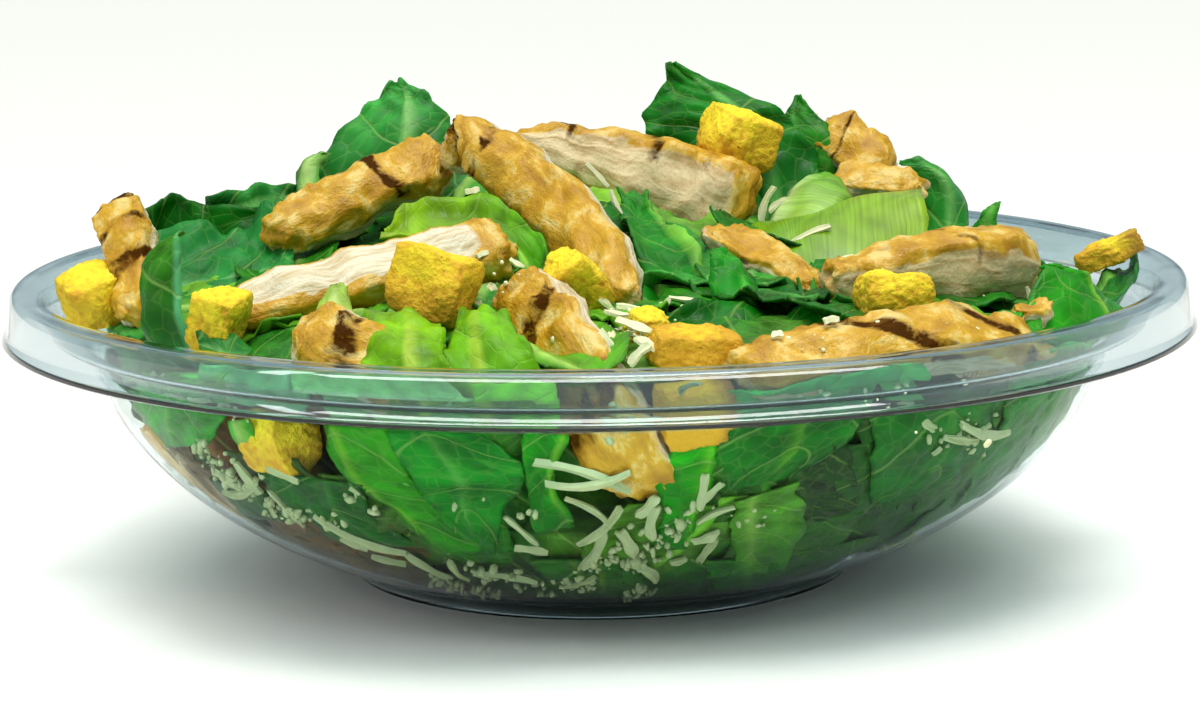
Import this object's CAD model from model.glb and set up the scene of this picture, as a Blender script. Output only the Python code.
"""The looks of a chicken caesar salad in its clear round takeaway bowl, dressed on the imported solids.

The tables and helpers work in millimetres, and a mesh becomes metres when its object is made.
"""

import math
import random

import bmesh
import bpy
from mathutils import Euler, Matrix, Quaternion, Vector, kdtree, noise


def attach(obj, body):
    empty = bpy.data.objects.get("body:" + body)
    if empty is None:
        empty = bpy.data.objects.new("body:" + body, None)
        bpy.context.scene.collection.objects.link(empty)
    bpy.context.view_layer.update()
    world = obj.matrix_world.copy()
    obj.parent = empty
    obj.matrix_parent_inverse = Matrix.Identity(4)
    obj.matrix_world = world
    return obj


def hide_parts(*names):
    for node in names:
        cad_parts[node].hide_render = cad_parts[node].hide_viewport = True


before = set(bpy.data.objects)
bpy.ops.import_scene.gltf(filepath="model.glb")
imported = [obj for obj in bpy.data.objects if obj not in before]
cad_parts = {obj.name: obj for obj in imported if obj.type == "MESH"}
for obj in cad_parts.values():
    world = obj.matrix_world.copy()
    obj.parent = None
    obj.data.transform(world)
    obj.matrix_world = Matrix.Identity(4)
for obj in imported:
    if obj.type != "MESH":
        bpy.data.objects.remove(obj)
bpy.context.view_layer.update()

MM = 0.001

# The vector noise would start from the clock without a seed, here the one that the solids have
NOISE_SEED = 7

# The bowl, a thin formed sheet whose middle line is turned round Z
SHEET = 0.8
BODY_RADIUS = 97.6
BODY_DEPTH = 56.3
BODY_CENTRE_Z = 52.0
BODY_LOW_ANGLE = 59.5
BODY_HIGH_ANGLE = 5.5
BASE_PANEL = [(0.0, 2.4), (41.5, 2.4)]
FOOT_RING = [(44.6, 0.4), (47.6, 0.4)]
RIM = [
    (99.0, 48.6),
    (104.6, 49.7),
    (106.3, 55.8),
    (107.6, 57.2),
    (110.9, 57.2),
    (111.9, 56.0),
    (112.4, 49.9),
    (113.6, 48.2),
]
SHELF_Z = 51.0
SHELF_RADIUS = 104.0
SHELF_SPREAD = 1.4
SHELF_RISE = 5.0
RIM_TOP_Z = 59.5

# The salad: a core that keeps its distance from the bowl, and the leaves and shreds that show on it
GAP = 0.35
LEAST_SHARE = 0.05
STEEP_Z = 40.0
SLOPE_SPAN = 26.0
CORE_INSET = 2.3
CORE_FLOOR_Z = 4.0
CORE_WALL_HEIGHTS = (10.0, 20.0, 32.0, 43.0, 48.5)
CORE_TOP_RADII = (90.0, 74.0, 56.0, 37.0, 18.0)
SHOULDER_RADIUS = 98.0
EDGE_Z = 49.0
SHOULDER_RISE = 8.0
PEAK_RISE = 14.0
PEAK_Y = 12.0
PEAK_SPREAD = (48.0, 34.0)
LOW_SIDE_ANGLE = 28.0
LOW_SIDE_SPREAD = 28.0
LOW_SIDE_DROP = 8.0
LOW_SIDE_START = 55.0
LOW_SIDE_REACH = 35.0
LEAF_THICKNESS = 1.0
RUFFLE = 0.04
BLISTER = 0.5
LYING_BULGE = 0.1
LEAF_MARGIN = 0.75

# Leaves that stand or lie on the salad: bulge, thickness, and the two edges from the root to the tip
TOP_LEAVES = {
    "back_left_peak": (0.06, 1.0, [
        ((-60, 14, 60), (-30.5, 10, 64)), ((-55, 17, 76), (-28, 16, 83)),
        ((-45, 23, 86.5), (-33, 22, 89)), ((-40.5, 25, 92), (-38, 25, 92)),
    ]),
    "left_curl": (0.25, 1.0, [
        ((-58, 10, 70), (-53, 8, 70)), ((-58, 13, 76), (-54, 12, 76.5)),
        ((-55.5, 14, 78), (-51.5, 15, 79)),
    ]),
    "left_ridge": (0.1, 1.0, [
        ((-84, 0, 54), (-87, 2, 69.5)), ((-79, 2, 55), (-81.5, 6, 72)),
        ((-71, 2, 57), (-74.5, 6, 70.5)), ((-57, 2, 60), (-59, 8, 70)),
    ]),
    "left_ridge_back": (0.1, 1.0, [
        ((-74, 4, 57), (-76, 8, 71.5)), ((-67, 4, 58), (-69.5, 10, 73)),
        ((-62, 5, 60), (-65, 12, 74.5)), ((-55, 6, 61), (-58, 12, 73.5)),
    ]),
    "left_broad": (0.1, 1.0, [
        ((-84, -32, 55), (-86.5, -4, 66)), ((-72.5, -34, 56), (-74, -2, 68)),
        ((-64, -32, 58), (-64, -1, 69)), ((-57, -22, 62), (-58.5, -3, 69)),
    ]),
    "left_blade": (0.12, 1.0, [
        ((-78, -52, 46), (-68, -57, 47)), ((-81.5, -57.5, 60), (-72, -61.5, 61)),
        ((-80.5, -57, 69), (-73, -58, 72)), ((-75, -57, 73), (-73, -57, 74)),
    ]),
    "left_foot": (0.1, 1.0, [
        ((-70, -67, 54), (-71, -64, 57.5)), ((-62, -72, 53), (-65, -64, 56.5)),
        ((-52, -62, 50), (-54, -58, 51)),
    ]),
    "back_right_peak": (0.1, 1.0, [
        ((18, 20, 62), (44, 16, 64)), ((11.5, 26, 76.5), (43, 22, 77)), ((9.5, 28, 84), (36, 26, 84.5)),
        ((13.5, 30, 89.5), (25, 29, 90)), ((14, 31, 94.5), (15.5, 31, 94)),
    ]),
    "back_right_fold": (0.15, 1.0, [
        ((38, 24, 62), (50, 22, 64)), ((37, 26, 78), (48.5, 23, 77)),
        ((38, 28, 84), (43.5, 26, 84)), ((39.5, 29, 87.5), (40.5, 29, 87.5)),
    ]),
    "right_curl": (0.3, 1.0, [
        ((64, 26, 52), (73, 28, 54)), ((64.5, 30, 67), (73.5, 32, 65)),
        ((61, 32, 72), (69.5, 34, 71)), ((60, 32, 74), (65, 34, 74)),
    ]),
    "right_sprig": (0.2, 1.0, [
        ((74, 50, 47), (82, 48, 47)), ((77.5, 50, 59), (82, 50, 59)), ((82, 52, 62.5), (82.8, 52, 62.5)),
    ]),
    "pale_wedge": (0.2, 3.2, [
        ((32, -2, 60), (37, -10, 60)), ((36.5, 4, 69), (47, -1, 69)), ((43.5, 10, 73.5), (46.5, 8, 72.5)),
    ]),
    "pale_rib": (0.16, 3.0, [
        ((27.5, -5, 64), (32, -22, 59)), ((37, -2, 66.5), (37.5, -25, 57)),
        ((48.5, 2, 68.5), (47, -24, 59)), ((63, 5, 70.5), (62.5, -13, 64)),
    ]),
    "middle_fold": (-0.14, 1.0, [
        ((9.5, -48, 55), (21, -42, 57)), ((7, -30, 65), (19, -30, 63.5)),
        ((4.5, -12, 70), (12, -14, 68.5)), ((4, -4, 73), (9, -4, 73)),
    ]),
    "middle_arch": (0.2, 1.0, [
        ((-40.5, -26, 69), (-39.5, -24, 70)), ((-32, -27, 68.5), (-34.5, -20, 74)),
        ((-21.5, -27, 69.5), (-22, -20, 75)), ((-15, -32, 65), (-12, -28, 70.5)),
        ((-11, -41, 55), (-7, -40, 61)),
    ]),
    "front_wave": (0.12, 1.4, [
        ((11, -62, 57), (12, -60, 59)), ((19.5, -74, 54.5), (24.5, -54, 60)),
        ((30, -76, 54.5), (34, -54, 60)), ((43.5, -66, 55.5), (42.5, -60, 59)),
    ]),
    "front_tongue": (0.15, 1.0, [
        ((21, -52, 56), (30, -52, 57)), ((20, -46, 63.5), (27, -43, 62.5)),
        ((20, -42, 67), (23, -40, 67)),
    ]),
    "right_blade": (0.14, 1.0, [
        ((68, -56, 46), (84, -34, 46)), ((75, -62, 52), (94.5, -38, 52)),
        ((76.5, -57, 60), (92, -40, 57)),
        ((78.5, -51, 64), (88.5, -42, 61)), ((80, -49, 65), (83.5, -46, 64)),
    ]),
    "right_tongue": (0.1, 1.0, [
        ((56, -58, 50), (58, -54, 52)), ((64, -66, 56), (66, -62, 58)),
        ((72, -69, 55.5), (73, -64, 59)), ((78, -66, 56), (78, -60, 59.5)),
    ]),
    "rim_leaf": (0.12, 1.0, [
        ((90, -36, 50), (88, -8, 51)), ((98, -22, 55), (96.5, -6, 56.5)),
        ((102, -8, 58), (101, 0, 56.5)), ((103.5, 2, 59.8), (102.5, 3, 60)),
    ]),
    "lime_back": (0.1, 1.0, [
        ((-50, -60, 50), (-40, -63, 50)),
        ((-51, -64, 56), (-41, -69, 56)), ((-48.5, -60, 63), (-44, -63, 62.5)),
        ((-46, -59, 64.5), (-44.5, -60, 64)),
    ]),
    "lime_left": (0.1, 1.2, [
        ((-34, -80, 47), (-24, -82, 47)), ((-39, -92, 50), (-25, -94, 51)),
        ((-41, -86, 57), (-25.5, -90, 57.5)), ((-41, -70, 60), (-27, -78, 60)),
    ]),
    "lime_middle": (0.12, 1.2, [
        ((-24, -82, 47), (-10, -84, 47)), ((-26, -94, 51), (-8, -95, 51)),
        ((-25, -85, 59.5), (-13, -90, 59)), ((-23.5, -76, 61.5), (-17.5, -78, 62)),
    ]),
    "back_spread": (0.1, 1.0, [
        ((-40, 46, 57), (-8, 50, 57)), ((-44, 66, 64), (-12, 70, 66)),
        ((-50, 82, 62), (-22, 88, 61)), ((-46, 90, 54), (-30, 94, 54)),
    ]),
    "back_tall": (0.1, 1.0, [
        ((2, 40, 56), (26, 42, 56)), ((0, 50, 68), (28, 52, 67)),
        ((6, 62, 74), (26, 64, 72)), ((16, 70, 74), (20, 70, 73)),
    ]),
    "back_low": (0.1, 1.0, [
        ((18, 68, 53), (40, 64, 52)), ((22, 82, 61), (46, 76, 58)),
        ((34, 88, 57), (52, 80, 55)), ((44, 88, 52), (52, 84, 51)),
    ]),
    "back_far_left": (0.1, 1.0, [
        ((-62, 38, 54), (-50, 58, 54)), ((-74, 44, 62), (-60, 64, 64)),
        ((-84, 44, 59), (-74, 66, 59)), ((-90, 36, 53), (-84, 52, 52)),
    ]),
    "centre_left": (0.12, 1.0, [
        ((-38, 8, 62), (-24, 2, 64)), ((-32, 24, 71), (-14, 18, 73)),
        ((-20, 36, 69), (-6, 30, 71)), ((-12, 42, 62), (-8, 40, 63)),
    ]),
    "low_right": (0.1, 1.2, [
        ((60, 38, 48), (74, 24, 47)), ((72, 50, 53), (88, 32, 50)), ((80, 56, 50), (91, 40, 48)),
    ]),
}

# Leaves that lie on the salad's top: middle, heading in degrees, length, width
LYING_LEAVES = [
    (-40, 32, 60, 40, 28),
    (40, 44, 120, 38, 26),
    (0, 34, 80, 36, 28),
    (66, -2, 10, 34, 24),
    (-20, -54, -100, 28, 22),
    (-74, 18, 150, 30, 24),
]
LYING_LIFT = (-2.5, 3.0, 4.0)
LYING_HALF = (0.35, 0.5, 0.2)

# Leaves pressed against the wall: the two edges from top to foot, as azimuth in degrees and height
WALL_LEAVES = {
    "left_dull": [((-156, 42), (-134, 43)), ((-157, 31), (-140, 36))],
    "ring_stalk": [((-134, 42), (-131, 43)), ((-134, 37), (-130, 39)), ((-130, 36), (-127, 39))],
    "light_margin": [
        ((-120, 44), (-113, 44)), ((-119, 34), (-111, 35)),
        ((-114, 26), (-109, 30)), ((-112, 18), (-104, 20)),
    ],
    "broad_dark": [
        ((-113, 44), (-102, 44)), ((-111, 35), (-98, 37)),
        ((-109, 29), (-101, 30)), ((-107, 20), (-104, 19)),
    ],
    "narrow_bright": [
        ((-98, 45), (-93, 44)), ((-98, 37), (-95, 38)),
        ((-98, 31), (-95, 33)), ((-98, 24), (-93, 26)),
    ],
    "folded_strip": [
        ((-81, 43), (-78, 43)), ((-84, 37), (-78, 37)),
        ((-83, 29), (-79, 29)), ((-84, 20), (-79, 20)),
    ],
    "veined": [((-78, 44), (-62, 45)), ((-78, 38), (-63, 40)), ((-77, 32), (-69, 34))],
    "crumpled_light": [((-75, 30), (-68, 33)), ((-74, 23), (-65, 24)), ((-70, 12), (-61, 11))],
    "crinkled_dark": [
        ((-61, 45), (-42, 43)), ((-60, 38), (-41, 36)),
        ((-58, 31), (-44, 29)), ((-56, 26), (-52, 26)),
    ],
    "far_right": [((-40, 43), (-16, 42)), ((-40, 33), (-22, 31)), ((-36, 20), (-22, 19))],
    "dark_left": [((-132, 33), (-117, 33)), ((-132, 26), (-118, 26)), ((-128, 18), (-114, 20))],
    "low_middle": [((-100, 18), (-88, 18)), ((-98, 8), (-86, 8))],
}

# The way that a shred on top faces, and the place that those on the wall face away from
SHRED_OUTWARD = (0.0, -0.5, 0.85)
WALL_SHRED_CENTRE = (0.0, 0.0, 60.0)

# Grilled chicken slices: line, width and height at each end, the way the seared face looks
CHICKEN = {
    "chicken_01": (
        [(-83.5, -34, 54), (-87, -22, 64.5), (-90, -12, 74)],
        (9, 10.5), (8, 7.5), (-0.35, -0.85, 0.35),
    ),
    "chicken_02": (
        [(-63, -8, 65), (-53.5, -4, 69.5), (-44.5, 0, 73), (-35.5, 3, 76.5), (-28, 5, 79)],
        (11, 12), (9, 9), (0, -0.7, 0.7),
    ),
    "chicken_03": (
        [(-29, -1, 82), (-22, -3, 81.5), (-13.5, -9, 76), (-6, -19, 70.5), (0, -32, 63.5), (4, -45, 57)],
        (11.5, 14), (10, 11), (-0.5, -0.75, 0.45),
    ),
    "chicken_04": (
        [(-17, 16, 80.5), (0.5, 14, 77), (16, 9, 72.5), (29, 3, 68.5)],
        (12, 13), (9, 20), (0.1, 0.25, 1),
    ),
    "chicken_05": (
        [(-66.5, -51, 57.5), (-53.5, -47, 60.5), (-39.5, -43, 63), (-27, -39, 65.5), (-16, -35, 67.5)],
        (9, 10), (11, 13), (0.1, -0.75, -0.6),
    ),
    "chicken_06": (
        [(-51, -78, 60), (-43, -83, 57), (-32, -88, 50)],
        (13, 12), (8, 7), (-0.2, -0.75, 0.65),
    ),
    "chicken_07": (
        [(-15, -62, 64.5), (-9.5, -70, 58.5), (-4, -81, 52.5), (2, -89.5, 43), (8.5, -85, 32.5)],
        (14, 15), (9, 9), (-0.5, -0.8, 0.35),
    ),
    "chicken_08": ([(45, 29, 80.5), (51, 25, 76.5), (57, 19, 72)], (11, 11), (10, 9), (-0.4, -0.4, 0.8)),
    "chicken_09": (
        [(40.5, -41, 60.5), (53, -38, 61.5), (66.5, -33, 62), (80, -26, 61)],
        (9, 11), (8.5, 17), (0.05, -0.15, 1),
    ),
    "chicken_10": (
        [(22.5, -91, 53), (42.5, -86, 56), (62, -76, 56), (78, -64, 50.5)],
        (12, 12), (8, 9), (0.1, -0.55, 0.85),
    ),
    "chicken_11": ([(21, -21, 68), (31, -28, 63), (41, -36, 58.5)], (10, 9), (5, 5), (0.4, -0.5, 0.8)),
    "chicken_12": (
        [(72, -64, 57.5), (76, -61.5, 58), (80, -58, 58)],
        (4.5, 4.5), (4, 4), (0, -0.5, 0.85),
    ),
    "chicken_13": (
        [(-83, -35, 36), (-78, -37, 26), (-68, -38, 16)],
        (13, 13), (8, 8), (-0.8, -0.5, -0.2),
    ),
    "chicken_14": ([(-44, 42, 63.5), (-26, 52, 65.5), (-6, 56, 65)], (12, 12), (10, 11), (0, 0.3, 1)),
    "chicken_15": ([(36, 56, 61), (52, 58, 58), (66, 60, 53.5)], (12, 11), (10, 10), (0.2, 0.5, 0.85)),
    "chicken_16": (
        [(-78, 40, 58), (-66, 60, 58.5), (-50, 74, 58)],
        (12, 12), (10, 10), (-0.3, 0.4, 0.85),
    ),
    "chicken_17": ([(-14, 78, 60), (6, 85, 59), (24, 88, 55)], (11, 12), (9, 9), (0.1, 0.6, 0.8)),
    "chicken_18": ([(46, 15, 73), (55, 13, 71.5), (64, 12.5, 70.5)], (9, 8), (5.5, 5), (0.1, -0.6, 0.8)),
}

# Croutons: centre, size along its own three ways, turn in degrees
CROUTONS = {
    "crouton_01": ((-93.5, -24, 57.5), (12.5, 12, 10), (12, -18, 24)),
    "crouton_02": ((-67.5, -60, 58.5), (9, 9.5, 11), (8, 12, -20)),
    "crouton_03": ((-29, -66, 65), (14.5, 12.5, 13), (-12, 14, -20)),
    "crouton_04": ((-4, -57.5, 64), (8, 9, 12), (20, -40, 10)),
    "crouton_05": ((27.5, 14.5, 81), (13, 12, 11), (12, 20, 30)),
    "crouton_06": ((52.5, -57, 61), (13, 11, 7.5), (-8, 4, 12)),
    "crouton_07": ((16.5, -83, 56), (17, 10, 7), (6, 4, 5)),
    "crouton_08": ((-56, -68.5, 38), (11, 10, 10.5), (5, 12, 35)),
    "crouton_09": ((16, -89.5, 47), (13, 11, 11), (10, -8, 20)),
    "crouton_10": ((8, -70, 57.5), (7.5, 8, 6), (12, 10, 35)),
    "crouton_11": ((97.5, -4, 60.2), (14, 5, 4.8), (0, -22, 8)),
    "crouton_12": ((-46, 58, 63), (13, 12, 12), (15, 10, 40)),
    "crouton_13": ((14, 66, 62.5), (12, 12, 11.5), (-10, 25, 10)),
    "crouton_14": ((-8, 92, 57), (12, 12.5, 11), (10, 5, 25)),
    "crouton_15": ((56, 74, 54.5), (12, 11.5, 11.5), (5, 15, 60)),
}
STEP = 0.02
SECTION_ROUNDING = 0.6
STRIP_TAPER = 0.3
STRIP_END_BULGE = 1.2
CHICKEN_RELIEF = 1.4
CHICKEN_LUMP = 6.5
CROUTON_ROUNDING = 0.34
CROUTON_RELIEF = 1.4
CROUTON_LUMP = 5.0
TOPPING_MARGIN = 0.3

# How each leaf looks: colour at the root and at the tip, colour of the rib, where the rib runs
# across (-1 to 1), the rib's half width and how far the blade blisters between its veins
PLAIN_LEAF = ("#207115", "#2F891F", "#99C558", 0.0, 0.8, 0.7)
LEAF_LOOKS = {
    "back_left_peak": ("#1F7B26", "#3CA23E", "#8BC66D", 0.35, 0.9, 0.8),
    "left_curl": ("#238026", "#79B64E", "#B0D274", 0.0, 1.4, 0.3),
    "left_ridge": ("#085E07", "#0D690B", "#359328", -0.8, 0.5, 0.9),
    "left_ridge_back": ("#1B7729", "#2F9234", "#70B75C", 0.6, 0.7, 1.1),
    "left_broad": ("#1F8031", "#238934", "#7EC074", 0.1, 0.6, 1.2),
    "left_blade": ("#0C6410", "#3A7C0C", "#5CB070", 0.86, 0.9, 0.3),
    "left_foot": ("#166D1F", "#2F8930", "#7EBC68", 0.0, 0.5, 0.4),
    "back_right_peak": ("#167B1B", "#137612", "#70BD5B", 0.35, 0.6, 1.2),
    "back_right_fold": ("#2F7B15", "#126E12", "#53A044", -0.5, 0.5, 0.5),
    "right_curl": ("#228424", "#2F9234", "#81C665", 0.1, 0.6, 0.3),
    "right_sprig": ("#1F8910", "#2D9C17", "#81C650", 0.0, 0.5, 0.2),
    "pale_wedge": ("#A2BE50", "#5CA008", "#C4DC90", -0.9, 1.6, 0.0),
    "pale_rib": ("#649A00", "#86A81C", "#A6BE50", 0.0, 0.4, 0.0),
    "middle_fold": ("#0F720E", "#23891C", "#81C641", 0.9, 0.8, 0.7),
    "middle_arch": ("#98C010", "#2C9410", "#B8D850", -0.7, 0.6, 0.5),
    "front_wave": ("#076207", "#0D800F", "#38A028", -0.9, 0.5, 0.9),
    "front_tongue": ("#067D06", "#0D960C", "#49B734", 0.4, 0.6, 0.5),
    "right_blade": ("#20890C", "#279611", "#96CE41", 0.3, 0.5, 0.5),
    "right_tongue": ("#1F8911", "#2B9619", "#7EC644", 0.0, 0.4, 0.4),
    "rim_leaf": ("#227B27", "#166D20", "#8DC656", 0.8, 0.5, 0.3),
    "lime_back": ("#96B838", "#A8C850", "#C8DC8C", 0.0, 0.6, 0.4),
    "lime_left": ("#5E9E04", "#82B80C", "#B8D044", 0.2, 0.7, 1.1),
    "lime_middle": ("#569E04", "#76B408", "#B4D03C", -0.3, 0.6, 1.2),
    "back_spread": ("#1F7B1B", "#338F2A", "#8DC661", 0.1, 1.0, 0.9),
    "back_tall": ("#167115", "#23841E", "#79BB56", -0.2, 0.8, 0.9),
    "back_low": ("#429616", "#68AF20", "#B1D465", 0.2, 1.0, 0.8),
    "back_far_left": ("#1B761C", "#238629", "#79BB62", 0.0, 0.8, 0.9),
    "centre_left": ("#2B8916", "#4EA51E", "#A3CE59", 0.1, 0.9, 0.7),
    "low_right": ("#23801F", "#389629", "#91C65F", 0.1, 0.8, 0.8),
    "left_dull": ("#28921F", "#35A428", "#7FB25F", 0.0, 0.6, 0.3),
    "ring_stalk": ("#4DBE22", "#5BCE31", "#A0CA5F", 0.0, 1.4, 0.2),
    "light_margin": ("#2E9804", "#208602", "#72B022", -0.6, 0.5, 0.6),
    "broad_dark": ("#0C8A14", "#097A0E", "#4A9E35", -0.1, 0.6, 0.8),
    "narrow_bright": ("#159903", "#067A02", "#72B921", 0.7, 0.6, 0.5),
    "folded_strip": ("#1EBE00", "#067A00", "#72C81A", 0.6, 0.5, 0.2),
    "veined": ("#0E740C", "#0C6E0C", "#72B421", 0.1, 0.5, 0.3),
    "crumpled_light": ("#569E22", "#3C8A14", "#8CBC48", -0.5, 0.9, 0.8),
    "crinkled_dark": ("#0A720D", "#066607", "#328627", 0.2, 0.5, 1.0),
    "far_right": ("#147A12", "#127412", "#559A42", 0.2, 0.6, 0.6),
    "dark_left": ("#045A07", "#08660C", "#3D8631", 0.3, 0.5, 0.6),
    "low_middle": ("#1E6E07", "#145A04", "#65902C", 0.0, 0.6, 0.5),
}

# More leaf seen through the rim and low on the wall, in the same terms as the wall's leaves
RIM_LEAVES = {
    "band_left": (
        [((-153, 41), (-150, 47)), ((-133, 45), (-128, 53))],
        ("#4CC23E", "#62CE50", "#B0DC88", 0.2, 0.6, 0.4),
    ),
    "band_pale": (
        [((-119, 45), (-121, 56)), ((-99, 45), (-105, 56))],
        ("#98EC84", "#A8F490", "#E0FCC0", 0.1, 0.8, 0.3),
    ),
    "band_mint": (
        [((-133, 46), (-132, 54)), ((-122, 46), (-120, 55))],
        ("#7CE480", "#94EC98", "#DCFCD0", -0.2, 0.7, 0.4),
    ),
    "band_lime": (
        [((-101, 45), (-102, 54)), ((-94, 45), (-94, 55))],
        ("#80EC20", "#96F62C", "#D8F470", 0.2, 0.6, 0.5),
    ),
    "band_right": (
        [((-59, 47), (-62, 55)), ((-54, 46), (-58, 54))],
        ("#58CE60", "#66D468", "#B8E4A0", 0.0, 0.5, 0.2),
    ),
    "band_veined": (
        [((-79, 44), (-79, 50)), ((-71, 45), (-70, 53)), ((-61, 45), (-60, 55))],
        ("#30AC48", "#44C466", "#B4E898", 0.0, 0.5, 0.4),
    ),
    "band_far_right": (
        [((-41, 44), (-41, 53)), ((-16, 41), (-25, 51))],
        ("#3CB438", "#46BE3E", "#98D474", 0.0, 0.5, 0.6),
    ),
    "far_edge": (
        [((-30, 42), (-6, 42)), ((-30, 31), (-10, 32)), ((-28, 21), (-14, 23))],
        ("#1A862A", "#187C22", "#68AC54", 0.1, 0.6, 0.5),
    ),
    "olive_low": (
        [((-96, 18), (-85, 18)), ((-97, 8), (-83, 7))],
        ("#287A07", "#1C5E04", "#72992E", 0.0, 0.6, 0.4),
    ),
    "dark_strip": (
        [((-146, 28), (-134, 29)), ((-146, 20), (-133, 22))],
        ("#044A06", "#0A5A09", "#3D7F31", 0.5, 0.6, 0.5),
    ),
    "low_right_wall": (
        [((-77, 17), (-64, 15)), ((-70, 7), (-55, 4))],
        ("#1C8208", "#0C5E04", "#5A992C", 0.0, 0.6, 0.6),
    ),
}

# Looks of the leaves pressed on the sides that the front view doesn't reach
SIDE_LOOKS = [
    ("#1E8D14", "#157D11", "#7EBF50", 0.1, 0.7, 0.7),
    ("#3E9D0F", "#2F890B", "#98C64A", -0.3, 0.8, 0.6),
    ("#0F6C12", "#0A580C", "#44933B", 0.3, 0.5, 0.9),
    ("#5CBC26", "#3F9D14", "#AED268", 0.0, 1.2, 0.4),
    ("#278D25", "#1A791B", "#79B765", -0.1, 0.6, 0.7),
]

# Colours of the small chopped leaves on top: root, tip and rib
CHOPPED_PALETTE = [
    ("#237B10", "#2F8916", "#96C658"), ("#16690F", "#1F7B16", "#70B34C"),
    ("#529D16", "#68B31F", "#B5DA65"), ("#6DB31F", "#83C133", "#C7E37A"),
    ("#2D8929", "#3A9634", "#98CE77"), ("#0D590B", "#166D11", "#53A041"),
]

# Scattered pieces: how many, how far out they reach on top, and the turn in radians from each to the
# next, which spreads them evenly
WALL_BACKING_COUNT = 96
CHOPPED_COUNT = 84
CHOPPED_REACH = 88
CHOPPED_FARTHEST = 95
CHOPPED_LIFT = 1.6
CHOPPED_LENGTHS = (20, 34)
CHOPPED_WIDTHS = (14, 24)
WALL_STRAY_COUNT = 46
TOP_STRAY_COUNT = 70
TOP_STRAY_REACH = 84
TOP_STRAY_LIFT = 3.4
CRUMB_LIFT = 2.6
EVEN_TURN = 2.39996
SHRED_THICK = 0.55
SHRED_WIDEST = 1.9
VEIN_SPACING = 5.5
UPWARDS = Vector((0, 0, 1))
# The azimuths between which the front view shows the wall, and how far in the leaves behind lie there
FRONT_WALL = (-158, -18)
BACKING_INSET = 0.9
WALL_LEAF_HIGHEST = 47
WALL_LEAF_LOWEST = 6

# Seeds of the scattered pieces
CHOPPED_SEED = 23
BACKING_SEED = 5
CHEESE_SEED = 77

# How pale and moist a slice's cut face is, 0 where it is well cooked to 1
USUAL_PALENESS = 0.5
CUT_PALENESS = {
    "chicken_01": 0.7, "chicken_03": 0.85, "chicken_04": 0.3, "chicken_05": 1.0, "chicken_06": 0.7,
    "chicken_07": 0.7, "chicken_08": 0.6, "chicken_09": 0.2, "chicken_10": 0.6, "chicken_18": 0.7,
}
# Where along a slice its browned end starts and is full, past the slice's end where it has none
NO_BROWNED_END = (2, 3)
BROWNED_END = {"chicken_04": (0.86, 1.0), "chicken_05": (0.6, 0.8), "chicken_08": (0.6, 1.0)}

# Hollows in the core round the pieces that lie against the wall: azimuth, half width, lowest and
# highest place, and depth
POCKETS = [(-89, 8, 24, 62, 12), (-79.5, 6, 38, 62, 10), (-129, 8, 29, 48, 9), (-155, 7, 14, 42, 9)]
POCKET_EDGE = 4.0
# Where the bowl's rim begins, and places that small chopped leaves leave clear, as x, y and radius
RIM_FINISH_Z = 44.2
BARE_SPOTS = [(17, -6, 16), (28, -64, 17), (2, -26, 10), (16, -74, 12)]

# How toasted a crouton is, and how brown its far end
USUAL_BROWN = (0.35, 0.0)
CROUTON_BROWN = {
    "crouton_03": (0.52, 0.0),
    "crouton_07": (0.75, 0.0),
    "crouton_09": (0.75, 0.75),
    "crouton_11": (0.55, 0.55),
}

# The camera: a long lens a little above the rim
CAMERA_LENS = 113.4
CAMERA_DISTANCE = 0.730
CAMERA_ELEVATION = 9.97
CAMERA_TARGET_Z = 0.04
CAMERA_ROLL = -0.83

# Shreds of hard cheese with their width, by both ends: azimuth and height on the wall, points on top
WALL_SHREDS = [
    ((-97, 39), (-87, 33), 1.7), ((-96, 35), (-87, 37), 1.5), ((-94, 32), (-89, 26), 1.0),
    ((-93, 22), (-88, 30), 1.5), ((-93, 16), (-90, 25), 2.7), ((-101, 28), (-98, 22), 1.2),
    ((-101, 21), (-97, 20), 1.7), ((-96, 11), (-91, 14), 1.2), ((-90, 47), (-84, 47), 1.9),
    ((-101, 46), (-99, 46), 0.8), ((-95, 46), (-92, 46), 0.8), ((-84, 46), (-78, 46), 1.0),
    ((-79, 36), (-79, 29), 1.4), ((-77, 34), (-79, 30), 1.4), ((-75, 29), (-79, 26), 1.2),
    ((-76, 24), (-79, 22), 2.0), ((-76, 22), (-77, 17), 1.5), ((-86, 28), (-84, 32), 2.0),
    ((-84, 30), (-84, 23), 1.9), ((-88, 25), (-86, 19), 2.4), ((-86, 17), (-82, 12), 2.0),
    ((-81, 17), (-79, 18), 1.4), ((-82, 51), (-81, 54), 1.0), ((-154, 45), (-147, 46), 1.4),
    ((-143, 45), (-140, 45), 1.2), ((-139, 45), (-135, 46), 1.4), ((-141, 31), (-138, 28), 1.7),
    ((-135, 34), (-134, 28), 2.0), ((-143, 26), (-133, 31), 1.5), ((-130, 34), (-126, 32), 1.4),
    ((-132, 29), (-131, 22), 1.7), ((-133, 27), (-135, 23), 1.2), ((-127, 25), (-117, 18), 1.9),
    ((-126, 20), (-123, 18), 1.4), ((-124, 16), (-119, 15), 1.4), ((-117, 18), (-114, 12), 2.2),
    ((-111, 17), (-111, 12), 1.5), ((-109, 14), (-100, 12), 2.0), ((-119, 32), (-118, 31), 0.8),
    ((-48, 40), (-38, 36), 1.9), ((-50, 38), (-44, 36), 1.4), ((-54, 42), (-52, 40), 1.4),
    ((-58, 46), (-56, 45), 1.2), ((-70, 46), (-68, 45), 0.7), ((-38, 12), (-38, 15), 1.0),
    ((-51, 35), (-50, 36), 0.5),
]
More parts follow.
